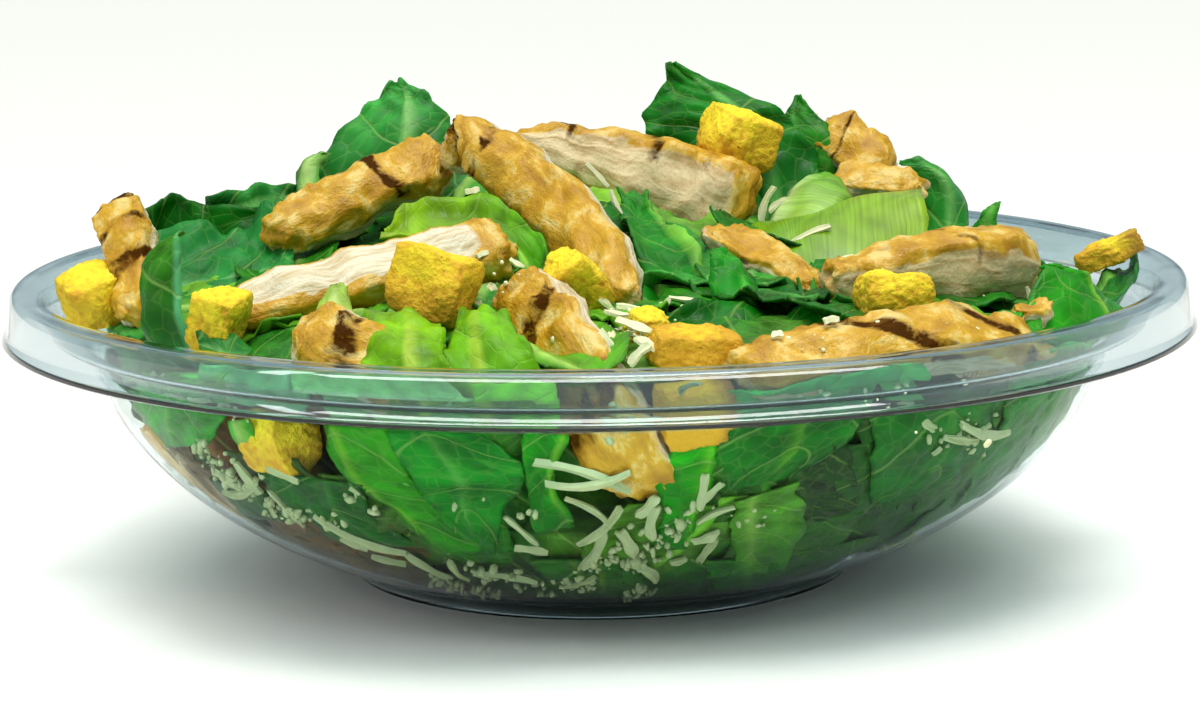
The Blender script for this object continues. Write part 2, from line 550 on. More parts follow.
TOP_SHREDS = [
    ((-24.5, -22, 76), (-22, -22, 76.5), 1.3), ((-2, -10, 79.5), (2, -10, 75), 1.1),
    ((2.5, -12, 74.5), (4.5, -12, 70), 1.1), ((31.5, 2, 64.5), (34, 2, 73), 1.5),
    ((33, 2, 68), (36.5, 2, 70.5), 1.5), ((33, -18, 62), (43.5, -18, 68), 1.3),
    ((3, -56, 59.5), (10.5, -56, 57), 1.5), ((10, -54, 57), (12.5, -54, 60.5), 1.3),
    ((12.5, -50, 60), (17.5, -50, 59.5), 1.3), ((-38, -74, 61.5), (-34, -74, 61), 1.3),
    ((-24, -66, 60), (-20.5, -66, 62), 1.5), ((5, -88, 54.5), (8.5, -88, 58), 1.9),
    ((8.5, -80, 56.5), (12.5, -80, 59.5), 1.9), ((0, -82, 59.5), (4.5, -82, 54.5), 3.0),
    ((-16, -44, 66.5), (-13.5, -44, 65), 1.5), ((78.5, -34, 58.5), (79, -34, 55), 0.9),
    ((0, -60, 61.5), (2.5, -60, 59), 1.5), ((-19.5, -58, 64), (-17.5, -58, 62), 1.9),
    ((5.5, -66, 58.5), (8, -66, 56.5), 2.2), ((-2.5, -70, 59), (0, -70, 56.5), 1.9),
    ((3, -76, 60.5), (9, -78, 58.5), 2.2), ((1, -74, 61.5), (5, -72, 60.5), 1.8),
    ((6, -84, 58.5), (10, -86, 56.5), 2.2), ((2, -78, 58.5), (3, -84, 56), 2.0),
    ((29, -90, 59.5), (31, -90, 59.8), 1.3), ((38, -88, 61.5), (40.5, -87, 61.8), 1.3),
    ((-22, -44, 67), (-20, -42, 67.5), 1.3), ((44, -36, 64.5), (46.5, -36, 65), 1.2),
]
# Where crumbs cling: azimuth, height and count on the wall, and middle, spread and count on top
CRUMB_SPOTS = [
    (-140, 33, 26), (-138, 29, 34), (-134, 26, 30), (-130, 24, 18), (-125, 24, 8), (-109, 14, 12),
    (-105, 12, 14), (-100, 9, 10), (-94, 12, 24), (-90, 17, 20), (-85, 18, 22), (-82, 22, 24),
    (-80, 27, 12), (-84, 9, 16), (-37, 12, 5), (-50, 39, 8), (-46, 37, 16), (-42, 37, 8),
    (-118, 9, 14), (-112, 8, 16), (-143, 47, 10), (-132, 45, 8), (-88, 46, 16), (-100, 30, 6),
    (-118, 30, 5), (-72, 26, 8),
]
TOP_CRUMB_SPOTS = [
    ((-6, -58, 62), 7, 26), ((6, -62, 60), 8, 34), ((-2, -78, 58), 7, 24), ((42, -84, 60), 14, 40),
    ((60, -74, 60), 8, 16), ((-20, -66, 63), 6, 14), ((70, -34, 64), 8, 10), ((10, -80, 58), 6, 20),
    ((4, -76, 60), 6, 26), ((34, -88, 60), 7, 16),
    ((-60, 20, 64), 18, 24), ((10, 50, 66), 24, 40), ((60, 30, 56), 16, 20), ((-30, 60, 62), 20, 30),
]

# Dark bands that the grill seared across a slice: place along it (-1 to 1), half width, slant and
# depth of colour
GRILL_MARKS = {
    "chicken_01": [(0.92, 0.09, 0.1, 0.8), (0.46, 0.06, 0.15, 0.7), (-0.22, 0.16, 0.2, 1.0)],
    "chicken_02": [(0.20, 0.08, 0.12, 1.0)],
    "chicken_03": [(-0.94, 0.07, 0.1, 0.9), (-0.52, 0.03, 0.1, 0.7)],
    "chicken_04": [(-0.62, 0.07, 0.1, 0.8), (0.02, 0.06, 0.2, 0.9), (0.5, 0.03, 0.2, 0.4)],
    "chicken_05": [(-0.7, 0.05, 0.1, 0.25)],
    "chicken_06": [(-0.02, 0.2, 0.35, 0.9)],
    "chicken_07": [(-0.45, 0.1, 0.3, 1.0), (0.33, 0.1, 0.2, 1.0)],
    "chicken_08": [(-0.3, 0.05, 0.5, 0.8)],
    "chicken_09": [(0.2, 0.04, 0.3, 0.7), (-0.8, 0.04, 0.2, 0.4)],
    "chicken_10": [(-0.14, 0.11, 0.5, 1.0), (0.55, 0.08, 0.5, 0.9), (0.92, 0.05, 0.3, 0.5)],
    "chicken_13": [(0.2, 0.12, 0.2, 0.6)],
    "chicken_14": [(-0.4, 0.08, 0.2, 0.9), (0.4, 0.08, 0.2, 0.9)],
    "chicken_15": [(-0.2, 0.1, 0.3, 0.9)],
    "chicken_16": [(-0.4, 0.07, 0.2, 0.9), (0.3, 0.08, 0.2, 0.9)],
    "chicken_17": [(-0.1, 0.1, 0.3, 0.9), (0.6, 0.07, 0.3, 0.9)],
}
# How deep the browned skin reaches down a slice's sides, 0 for a thin edge to 1 for all of it
USUAL_SKIN_REACH = 0.4
SKIN_REACH = {
    "chicken_01": 0.9, "chicken_02": 0.9, "chicken_03": 0.62, "chicken_04": 0.12, "chicken_05": 0.25,
    "chicken_06": 0.45, "chicken_07": 0.5, "chicken_08": 0.35, "chicken_09": 0.2, "chicken_10": 0.55,
    "chicken_11": 0.4, "chicken_12": 0.3, "chicken_13": 0.5, "chicken_18": 0.1,
}

# Colours low on the wall where the core and the leaves behind show, by azimuth and height
WALL_TONES = [
    ((-146, 34), "#9A621A"), ((-138, 40), "#A06816"), ((-136, 20), "#704810"), ((-126, 14), "#4C3A0C"),
    ((-122, 30), "#27530B"), ((-112, 10), "#2B4F0D"), ((-104, 30), "#23890F"), ((-98, 10), "#2C6C0F"),
    ((-88, 22), "#50891A"), ((-82, 34), "#32770F"), ((-86, 8), "#31660F"), ((-76, 12), "#25770B"),
    ((-64, 28), "#164109"), ((-56, 34), "#18530D"), ((-50, 22), "#23530D"), ((-42, 30), "#286612"),
    ((-36, 18), "#2C7A1C"), ((-24, 30), "#2C8A2C"), ((-10, 40), "#31891E"), ((-60, 6), "#2A5E10"),
    ((-90, 4), "#2C6A14"), ((-120, 5), "#6A5A20"), ((0, 20), "#236610"), ((0, 44), "#28891A"),
    ((40, 30), "#23770F"), ((80, 40), "#3F9B15"), ((90, 14), "#1E5A0B"), ((130, 30), "#197710"),
    ((170, 40), "#3F9B1A"), ((180, 16), "#31530D"), ((-170, 34), "#3F891C"), ((-160, 44), "#3F9B28"),
]

# How thick the leaves and the stalk pieces are, and the share of their brightness that the leaves on
# the wall keep
LEAF_SHEET = 0.5
STALK_SHEET = 2.6
WALL_LEAF_LIGHT = 0.84

# The core's own greens on top
CORE_GREENS = ("#2F7F22", "#7CB83A")

# The floor, which belongs to the picture and not to the object
FLOOR_COLOUR = "#FFF7F0"
FLOOR_HALF_SIZE = 6.0

# Lights, in metres, watts and degrees: the even surround, the wide ceiling, and the place, size and
# power of each soft light
SURROUND_COLOUR = "#9EB2B8"
CEILING_STRENGTH = 1.9
CEILING_COLOUR = (1.0, 0.97, 0.93)
CEILING_SPREAD = 60
LIGHT_TARGET = (0, 0, 0.05)
OVERHEAD_SOFTBOX = ((0.12, -0.35, 0.85), (0.34, 0.22), 3.2)
LEFT_SOFTBOX = ((-0.9, -0.5, 0.5), (0.12, 0.5), 1.6)
RIM_STRIP = ((0, -0.95, 0.75), (2.6, 0.4), 48.0)

# How finely the dressed pieces are divided, and how far the bowl's corners are eased
FOOT_EASE = 1.2
RIM_EASE = 1.1
EASE_STEPS = 4
LEAF_CELL = 1.0
SMALL_LEAF_CELL = 1.5
SLICE_CUTS = (55, 11)
CROUTON_FINE_CUTS = 23
BOWL_TURNS = 160
BODY_FINE_STEPS = 26
CORE_FINE_SEGMENTS = 120
CORE_WALL_STEPS = 26
CORE_TOP_STEPS = 42


# Colours and materials


def srgb(code):
    """An sRGB hex colour as the linear colour that a shader takes."""
    parts = [int(code[i:i + 2], 16) / 255 for i in (1, 3, 5)]
    parts = [c / 12.92 if c <= 0.04045 else ((c + 0.055) / 1.055) ** 2.4 for c in parts]
    return (*parts, 1.0)


def blend(first, second, share):
    """A colour between two, share 0 to 1."""
    share = min(1.0, max(0.0, share))
    return tuple(a + (b - a) * share for a, b in zip(first, second))


def add(tree, kind, inputs, **settings):
    """Adds a node: settings are its own, and each input is given a value or linked to a socket."""
    made = tree.nodes.new("ShaderNode" + kind)
    for name, value in settings.items():
        setattr(made, name, value)
    for key, value in inputs.items():
        socket = made.inputs[key]
        if isinstance(value, bpy.types.NodeSocket):
            tree.links.new(value, socket)
        else:
            socket.default_value = value
    return made


def spread(tree, value, low, high, start=0.0, end=1.0, **settings):
    """A number that goes from start to end while the value goes from low to high."""
    inputs = {"Value": value, "From Min": low, "From Max": high, "To Min": start, "To Max": end}
    return add(tree, "MapRange", inputs, **settings).outputs[0]


def mixed(tree, share, first, second, **settings):
    """The first colour turned into the second by a share."""
    return add(tree, "Mix", {0: share, 6: first, 7: second}, data_type="RGBA", **settings).outputs[2]


def worked(tree, operation, *values):
    """The result of one sum on numbers."""
    return add(tree, "Math", dict(enumerate(values)), operation=operation).outputs[0]


def attribute(tree, name):
    """A named value kept on the mesh's points."""
    return add(tree, "Attribute", {}, attribute_name=name)


def speckle(tree, place, scale, detail, **settings):
    """A cloudy pattern, its scale in patterns per unit of the place."""
    inputs = {"Vector": place, "Scale": scale, "Detail": detail} | settings
    return add(tree, "TexNoise", inputs).outputs[0]


def stretched(tree, place, scale):
    """A place with its three ways scaled apart."""
    return add(tree, "Mapping", {"Vector": place, "Scale": scale}).outputs[0]


def object_place(tree):
    """The place on the object in metres."""
    return add(tree, "TexCoord", {}).outputs["Object"]


def raised_by(tree, shader, height, strength, depth):
    """Gives the shader a relief of that depth in metres."""
    bump = add(tree, "Bump", {"Height": height, "Strength": strength, "Distance": depth})
    tree.links.new(bump.outputs[0], shader.inputs["Normal"])


def new_material(name):
    """A material with its tree and its Principled shader."""
    material = bpy.data.materials.new(name)
    material.use_nodes = True
    tree = material.node_tree
    return material, tree, tree.nodes["Principled BSDF"]


def formed_pet(name, colour, gloss):
    """Clear PET sheet, vacuum formed: faintly blue, glossy, its face a little wavy from the mould.

    The drawn-out wall is thinner and wet with dressing inside, so it mirrors less than the rim does.
    """
    material, tree, shader = new_material(name)
    shader.inputs["Base Color"].default_value = srgb(colour)
    shader.inputs["Roughness"].default_value = 0.02
    shader.inputs["IOR"].default_value = gloss
    shader.inputs["Transmission Weight"].default_value = 1.0
    raised_by(tree, shader, speckle(tree, object_place(tree), 55.0, 1.0), 0.12, 0.0006)
    clear = add(tree, "BsdfTransparent", {"Color": srgb("#EEF5F7")})
    shadow = add(tree, "LightPath", {}).outputs["Is Shadow Ray"]
    either = add(tree, "MixShader", {0: shadow, 1: shader.outputs[0], 2: clear.outputs[0]})
    tree.links.new(either.outputs[0], tree.nodes["Material Output"].inputs["Surface"])
    return material


def romaine_blade():
    """Washed romaine leaf: waxy and glossy, blistered between pale veins that spread from the rib.

    The attribute "tone" holds the leaf's colour and, in its alpha, its rib. The attribute "veins"
    holds millimetres across and along the blade and the count of side veins passed.
    """
    material, tree, shader = new_material("washed_romaine_leaf")
    tone = attribute(tree, "tone").outputs["Color"]
    split = add(tree, "SeparateXYZ", {0: attribute(tree, "veins").outputs["Vector"]}).outputs
    flat = add(tree, "CombineXYZ", {0: split["X"], 1: split["Y"]}).outputs[0]
    side = spread(tree, worked(tree, "PINGPONG", split["Z"], 1.0), 0.0, 0.08, 0.8, 0.0)
    inputs = {"Vector": flat, "Scale": 0.36, "Randomness": 0.9}
    net = add(tree, "TexVoronoi", inputs, feature="DISTANCE_TO_EDGE").outputs["Distance"]
    lines = worked(tree, "MAXIMUM", side, spread(tree, net, 0.0, 0.07, 0.22, 0.0))
    blotch = speckle(tree, flat, 0.16, 4.0)
    shade = spread(tree, blotch, 0.3, 0.7, 0.5, 1.3)
    body = mixed(tree, 1.0, tone, shade, blend_type="MULTIPLY")
    pale = mixed(tree, 0.36, body, srgb("#B0D86A"))
    tree.links.new(mixed(tree, lines, body, pale), shader.inputs["Base Color"])
    tree.links.new(spread(tree, blotch, 0.3, 0.7, 0.28, 0.5), shader.inputs["Roughness"])
    quilt = spread(tree, net, 0.0, 0.42, 0.0, 0.22, interpolation_type="SMOOTHERSTEP")
    raised_by(tree, shader, worked(tree, "SUBTRACT", quilt, lines), 0.45, 0.0006)
    shader.inputs["Specular IOR Level"].default_value = 0.16
    return material


def romaine_midrib():
    """Thick pieces of romaine's pale rib: crisp and wet, with fine straight strings along them."""
    material, tree, shader = new_material("cut_romaine_midrib")
    tone = attribute(tree, "tone").outputs["Color"]
    long = stretched(tree, attribute(tree, "veins").outputs["Vector"], (0.05, 1.4, 0.0))
    strings = speckle(tree, long, 1.0, 3.0)
    shade = spread(tree, strings, 0.3, 0.7, 0.72, 1.25)
    tree.links.new(mixed(tree, 1.0, tone, shade, blend_type="MULTIPLY"), shader.inputs["Base Color"])
    shader.inputs["Roughness"].default_value = 0.35
    shader.inputs["Specular IOR Level"].default_value = 0.4
    raised_by(tree, shader, strings, 0.35, 0.0004)
    return material


def grilled_breast():
    """Grilled chicken breast: oily golden skin with charred bars, and pale cut faces of long fibres.

    The attribute "finish" holds how browned, how charred and how deep in a crease a point is, and in
    its alpha how pale the cut face is. The attribute "grain" holds millimetres along, across and up
    the slice.
    """
    material, tree, shader = new_material("grilled_chicken_breast")
    finish = attribute(tree, "finish")
    grain = attribute(tree, "grain").outputs["Vector"]
    browned, charred, creased = add(tree, "SeparateColor", {0: finish.outputs["Color"]}).outputs
    fibre = speckle(tree, stretched(tree, grain, (0.13, 0.9, 0.9)), 1.0, 5.0, Distortion=0.6)
    blotch = speckle(tree, grain, 0.2, 4.0)
    spots = speckle(tree, grain, 1.1, 3.0)
    strand = spread(tree, fibre, 0.3, 0.56)
    cooked = mixed(tree, strand, srgb("#A87C30"), srgb("#E6C88C"))
    moist = mixed(tree, strand, srgb("#C8AE7A"), srgb("#EBDFC0"))
    cut = mixed(tree, finish.outputs["Alpha"], cooked, moist)
    golden = mixed(tree, spread(tree, blotch, 0.34, 0.56), srgb("#B27E05"), srgb("#D6A31C"))
    bare = worked(tree, "MULTIPLY_ADD", spots, 0.35, blotch)
    skin = mixed(tree, spread(tree, bare, 0.70, 0.84), golden, srgb("#E6C670"))
    brown = spread(tree, worked(tree, "MULTIPLY_ADD", blotch, 0.5, browned), 0.5, 0.85)
    flesh = mixed(tree, brown, cut, skin)
    char = spread(tree, worked(tree, "MULTIPLY_ADD", spots, 0.9, charred), 0.66, 1.2)
    marked = mixed(tree, char, flesh, srgb("#462602"))
    tree.links.new(mixed(tree, creased, marked, srgb("#8F5E16")), shader.inputs["Base Color"])
    tree.links.new(spread(tree, brown, 0.0, 1.0, 0.55, 0.4), shader.inputs["Roughness"])
    tree.links.new(spread(tree, char, 0.0, 1.0, 0.4, 0.02), shader.inputs["Specular IOR Level"])
    raised_by(tree, shader, worked(tree, "MULTIPLY_ADD", fibre, 0.5, spots), 0.6, 0.0006)
    return material


def toasted_crouton():
    """Seasoned bread cubes, fried: a rough open crumb, yellow with browner edges and herb specks."""
    material, tree, shader = new_material("seasoned_toasted_bread")
    finish = attribute(tree, "finish").outputs["Color"]
    toasted, ended, _ = add(tree, "SeparateColor", {0: finish}).outputs
    place = object_place(tree)
    blotch = speckle(tree, place, 420.0, 6.0, Roughness=0.7)
    crumb = speckle(tree, place, 1300.0, 3.0)
    toast = spread(tree, worked(tree, "MULTIPLY_ADD", blotch, 0.9, toasted), 0.42, 1.15)
    colour = mixed(tree, toast, srgb("#FFE41C"), srgb("#D8A00A"))
    browner = mixed(tree, ended, colour, srgb("#7A4A10"))
    herbs = mixed(tree, spread(tree, crumb, 0.70, 0.75), browner, srgb("#5A4A10"))
    tree.links.new(herbs, shader.inputs["Base Color"])
    shader.inputs["Roughness"].default_value = 0.7
    raised_by(tree, shader, crumb, 0.9, 0.0006)
    return material


def hard_cheese(name, dark, light):
    """Shredded hard cheese, slightly waxy where it was cut.

    It is dry and pale cream on top, and soaked, darker and greener where it sticks to the wall.
    """
    material, tree, shader = new_material(name)
    grain = speckle(tree, object_place(tree), 420.0, 3.0)
    tree.links.new(mixed(tree, grain, srgb(dark), srgb(light)), shader.inputs["Base Color"])
    shader.inputs["Roughness"].default_value = 0.5
    raised_by(tree, shader, grain, 0.3, 0.0003)
    return material


# Meshes


def object_from(bm, name, material, *nodes, sheet=0.0, smooth=True):
    """A finished piece from a bmesh in millimetres, with its thickness, standing for its nodes."""
    bmesh.ops.scale(bm, vec=(MM, MM, MM), verts=bm.verts)
    mesh = bpy.data.meshes.new(name)
    bm.to_mesh(mesh)
    bm.free()
    if smooth:
        mesh.shade_smooth()
    mesh.materials.append(material)
    obj = bpy.data.objects.new(name, mesh)
    bpy.context.scene.collection.objects.link(obj)
    if sheet:
        skin = obj.modifiers.new("thickness", "SOLIDIFY")
        skin.thickness = sheet * MM
        skin.offset = 0.0
    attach(obj, "root")
    if nodes:
        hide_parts(*nodes)
    return obj


def smoothstep(low, high, value):
    """An eased step from 0 at low to 1 at high."""
    share = min(1.0, max(0.0, (value - low) / (high - low)))
    return share * share * (3 - 2 * share)


# The bowl


def eased(line, reach, steps):
    """The line with each corner turned into a short curve."""
    made = [Vector(line[0])]
    for before, corner, after in zip(line, line[1:], line[2:]):
        before, corner, after = Vector(before), Vector(corner), Vector(after)
        back = before - corner
        ahead = after - corner
        start = corner + back.normalized() * min(reach, back.length * 0.45)
        end = corner + ahead.normalized() * min(reach, ahead.length * 0.45)
        for step in range(steps + 1):
            share = step / steps
            made.append(start.lerp(corner, share).lerp(corner.lerp(end, share), share))
    return [tuple(point) for point in made + [Vector(line[-1])]]


def body_line():
    """The wall's middle line: part of an ellipse, from the foot up to the rim."""
    line = []
    for step in range(BODY_FINE_STEPS + 1):
        share = step / BODY_FINE_STEPS
        angle = math.radians(BODY_LOW_ANGLE + share * (BODY_HIGH_ANGLE - BODY_LOW_ANGLE))
        line.append((BODY_RADIUS * math.cos(angle), BODY_CENTRE_Z - BODY_DEPTH * math.sin(angle)))
    return line


def offset_line(line, distance):
    """The line moved sideways; a positive distance moves it to the right of its direction."""
    moved = []
    for i, (r, z) in enumerate(line):
        before, after = line[max(i - 1, 0)], line[min(i + 1, len(line) - 1)]
        first = Vector((r - before[0], z - before[1]))
        second = Vector((after[0] - r, after[1] - z))
        first = first.normalized() if first.length else second.normalized()
        second = second.normalized() if second.length else first
        bisector = (first + second).normalized()
        normal = Vector((bisector.y, -bisector.x)) * distance / max(0.5, bisector.dot(first))
        moved.append((max(0.0, r + normal.x), z + normal.y))
    moved[0] = (0.0, moved[0][1]) if line[0][0] == 0.0 else moved[0]
    return moved


def make_bowl(material, rim_material):
    """The bowl as one turned sheet, its corners eased as a mould leaves them."""
    foot = eased(BASE_PANEL + FOOT_RING + body_line()[:2], FOOT_EASE, EASE_STEPS)
    rim = eased(body_line()[-2:] + RIM, RIM_EASE, EASE_STEPS)
    line = foot[:-1] + body_line()[1:-1] + rim[1:]
    bm = bmesh.new()
    outline = offset_line(line, SHEET / 2) + offset_line(line, -SHEET / 2)[::-1]
    profile = [bm.verts.new((r, 0.0, z)) for r, z in outline]
    edges = [bm.edges.new(pair) for pair in zip(profile, profile[1:])]
    bmesh.ops.spin(
        bm,
        geom=profile + edges,
        axis=(0, 0, 1),
        cent=(0, 0, 0),
        steps=BOWL_TURNS,
        angle=2 * math.pi,
        use_merge=True,
    )
    bmesh.ops.remove_doubles(bm, verts=bm.verts, dist=0.005)
    bmesh.ops.recalc_face_normals(bm, faces=bm.faces)
    for face in bm.faces:
        face.material_index = int(face.calc_center_median().z > RIM_FINISH_Z)
    bowl = object_from(bm, "clear_bowl_formed", material, "bowl")
    bowl.data.materials.append(rim_material)
    return bowl


def wall_radius(z):
    """The radius of the bowl's inner face at a height."""
    if z > SHELF_Z:
        return SHELF_RADIUS + SHELF_SPREAD * min(1.0, (z - SHELF_Z) / SHELF_RISE)
    drop = min(1.0, max(0.0, (BODY_CENTRE_Z - z) / (BODY_DEPTH - SHEET / 2)))
    return (BODY_RADIUS - SHEET / 2) * math.sqrt(max(LEAST_SHARE, 1 - drop * drop))


def kept_inside(point, margin):
    """The point pulled in to lie that far inside the bowl's inner face."""
    z = max(point.z, CORE_FLOOR_Z)
    if z > RIM_TOP_Z:
        return point
    slope = max(0.0, STEEP_Z - z) / SLOPE_SPAN
    limit = wall_radius(z) - margin * (1.0 + slope)
    pull = min(1.0, limit / max(math.hypot(point.x, point.y), MM))
    return Vector((point.x * pull, point.y * pull, z))


def wall_place(azimuth, z, inset):
    """A place that far inside the bowl's inner face."""
    angle = math.radians(azimuth)
    reach = wall_radius(z) - inset
    return Vector((reach * math.cos(angle), reach * math.sin(angle), z))


def wall_tone(azimuth, z):
    """The colour low on the wall, blended from the named places near it."""
    total, colour = 0.0, [0.0, 0.0, 0.0]
    for (a, h), code in WALL_TONES:
        turn = (azimuth - a + 180) % 360 - 180
        weight = 1.0 / (1.0 + (turn / 7) ** 2 + ((z - h) / 6) ** 2) ** 3
        total += weight
        for i, part in enumerate(srgb(code)[:3]):
            colour[i] += part * weight
    return tuple(part / total for part in colour) + (1.0,)


# The salad's core


def dome_z(x, y):
    """The height of the salad's bare top: a shoulder near the rim, a peak, and a low side."""
    reach = math.hypot(x, y)
    shoulder = SHOULDER_RISE * (1 - (reach / SHOULDER_RADIUS) ** 6)
    peak = PEAK_RISE * math.exp(-((x / PEAK_SPREAD[0]) ** 2) - ((y - PEAK_Y) / PEAK_SPREAD[1]) ** 2)
    off_low_side = (math.degrees(math.atan2(y, x)) - LOW_SIDE_ANGLE) / LOW_SIDE_SPREAD
    outward = min(1.0, max(0.0, (reach - LOW_SIDE_START) / LOW_SIDE_REACH))
    return EDGE_Z + shoulder + peak - LOW_SIDE_DROP * outward * math.exp(-off_low_side * off_low_side)


def crumple(point):
    """Folded, leafy relief, 0 in a crease to 1."""
    ridge = 1 - abs(noise.noise(point / 9.0)) * 2.2
    small = 1 - abs(noise.noise(point / 3.6 + Vector((7, 3, 1)))) * 2.2
    return min(1.0, max(0.0, 1 - 0.7 * ridge - 0.3 * small))


def make_core(material):
    """The mass of chopped leaf that fills the bowl behind the pieces that show."""
    bm = bmesh.new()
    tone = bm.verts.layers.float_color.new("tone")
    veins = bm.verts.layers.float_vector.new("veins")
    rise = CORE_WALL_HEIGHTS[-1] - CORE_FLOOR_Z
    heights = [CORE_FLOOR_Z + rise * (i / CORE_WALL_STEPS) ** 1.3 for i in range(CORE_WALL_STEPS + 1)]
    rings = [(wall_radius(max(z, CORE_FLOOR_Z + 1)), z) for z in heights]
    rings[0] = (rings[0][0] / 2, rings[0][1])
    rings = [(radius - CORE_INSET - 0.8, z) for radius, z in rings]
    rings += [(CORE_TOP_RADII[0] * (1 - i / CORE_TOP_STEPS), None) for i in range(CORE_TOP_STEPS)]
    bmesh.ops.create_uvsphere(bm, u_segments=CORE_FINE_SEGMENTS, v_segments=len(rings) + 1, radius=1.0)
    for vert in bm.verts:
        tilt = math.acos(max(-1.0, min(1.0, -vert.co.z)))
        place = round(tilt / math.pi * (len(rings) + 1)) - 1
        azimuth = math.atan2(vert.co.y, vert.co.x)
        radius, height = rings[min(max(place, 0), len(rings) - 1)]
        if place < 0 or place >= len(rings):
            radius = 0.0
        x, y = radius * math.cos(azimuth), radius * math.sin(azimuth)
        top = dome_z(x, y)
        deep = crumple(Vector((x, y, top if height is None else height)))
        if height is None:
            vert.co = (x, y, top + 1.6 - 3.2 * deep)
        else:
            pull = 1 - 0.022 * deep if height > CORE_FLOOR_Z else 1
            vert.co = (x * pull, y * pull, min(height, top - 1.0) if height > STEEP_Z else height)
        for turn, half, low, high, sunk in POCKETS:
            off = abs((math.degrees(azimuth) - turn + 180) % 360 - 180)
            if height is not None and off < half + POCKET_EDGE and low < height < high:
                vert.co *= Vector([1 - sunk / radius * smoothstep(half + POCKET_EDGE, half, off)] * 2 + [1])
        colour = wall_tone(math.degrees(azimuth), vert.co.z)
        if height is None:
            green = blend(*[srgb(code) for code in CORE_GREENS], 0.5 + noise.noise(vert.co / 15.0))
            colour = blend(colour, green, 0.8)
        vert[tone] = tuple(part * (1.1 - 0.75 * deep) for part in colour[:3]) + (0.0,)
        vert[veins] = (vert.co.x, vert.co.y + vert.co.z, (vert.co.x + vert.co.z) / 8.0)
    bmesh.ops.recalc_face_normals(bm, faces=bm.faces)
    core = object_from(bm, "chopped_romaine_core", material, "lettuce")


# Leaves


def curve_point(points, share):
    """A point of a smooth curve through the given points, share 0 to 1."""
    spans = len(points) - 1
    place = min(share * spans, spans - 1e-6)
    index = max(0, int(place))
    t = place - index
    p1, p2 = Vector(points[index]), Vector(points[index + 1])
    p0 = Vector(points[index - 1]) if index else p1 * 2 - p2
    p3 = Vector(points[index + 2]) if index + 2 <= spans else p2 * 2 - p1
    a = p1 * 2
    b = p2 - p0
    c = p0 * 2 - p1 * 5 + p2 * 4 - p3
    d = p1 * 3 - p0 - p2 * 3 + p3
    return (a + b * t + c * t * t + d * t * t * t) / 2


def leaf_waves(seed):
    """The phases of one leaf's ruffled edge and blistered face."""
    draw = random.Random(seed)
    return [draw.uniform(0, 2 * math.pi) for _ in range(3)]


def between_edges(rows, along, across):
    """The place between the leaf's edges; along runs 0 to 1 from root to tip, across -1 to 1."""
    left = curve_point([left for left, _ in rows], along)
    right = curve_point([right for _, right in rows], along)
    return left.lerp(right, (across + 1) / 2), right - left


def lift(waves, width, along, across):
    """How far a leaf's ruffles and blisters raise a place of its sheet."""
    ruffle = RUFFLE * width * across * across * math.sin(9 * along + waves[0] + 2.2 * across)
    return ruffle + BLISTER * math.sin(13 * along + waves[1]) * math.sin(5 * across + waves[2])


def top_leaf_point(rows, bulge, waves, along, across, raised):
    """A point of a leaf's sheet, raised that far off it."""
    base, side = between_edges(rows, along, across)
    ahead = between_edges(rows, min(1, along + STEP), across)[0]
    behind = between_edges(rows, max(0, along - STEP), across)[0]
    normal = side.cross(ahead - behind).normalized()
    width = side.length
    crown = bulge * width * (1 - across * across)
    return base + normal * (crown + lift(waves, width, along, across) + raised)


def wall_leaf_point(rows, waves, along, across, inset):
    """A point of a leaf pressed on the wall, whose edges are given as azimuth and height."""
    flat = [[(azimuth, z, 0) for azimuth, z in row] for row in rows]
    place, _ = between_edges(flat, along, across)
    sunk = 0.8 * abs(lift(waves, 12, along, across))
    return wall_place(place.x, place.y, GAP + 0.5 + sunk + inset)


def ragged(along, across, length, width, seed):
    """The same place on a leaf whose torn, toothed outline is uneven along its sides, less at its ends."""
    edge = noise.noise(Vector((along * length / 7.0, seed * 3.7, 0)))
    edge += 0.5 * noise.noise(Vector((along * length / 2.6, seed * 5.1, 4)))
    end = noise.noise(Vector((across * width / 7.0, seed * 2.3, 9)))
    end += 0.5 * noise.noise(Vector((across * width / 2.6, seed * 1.9, 13)))
    reach = 1.6 / max(width, 6.0)
    moved_across = across + reach * 1.6 * edge * abs(across) ** 3 * (1 if across > 0 else -1)
    tip = (2 * along - 1) ** 5
    moved_along = along + 0.5 / max(length, 6.0) * end * tip - 0.01 * abs(tip)
    return max(0.0, moved_along), moved_across


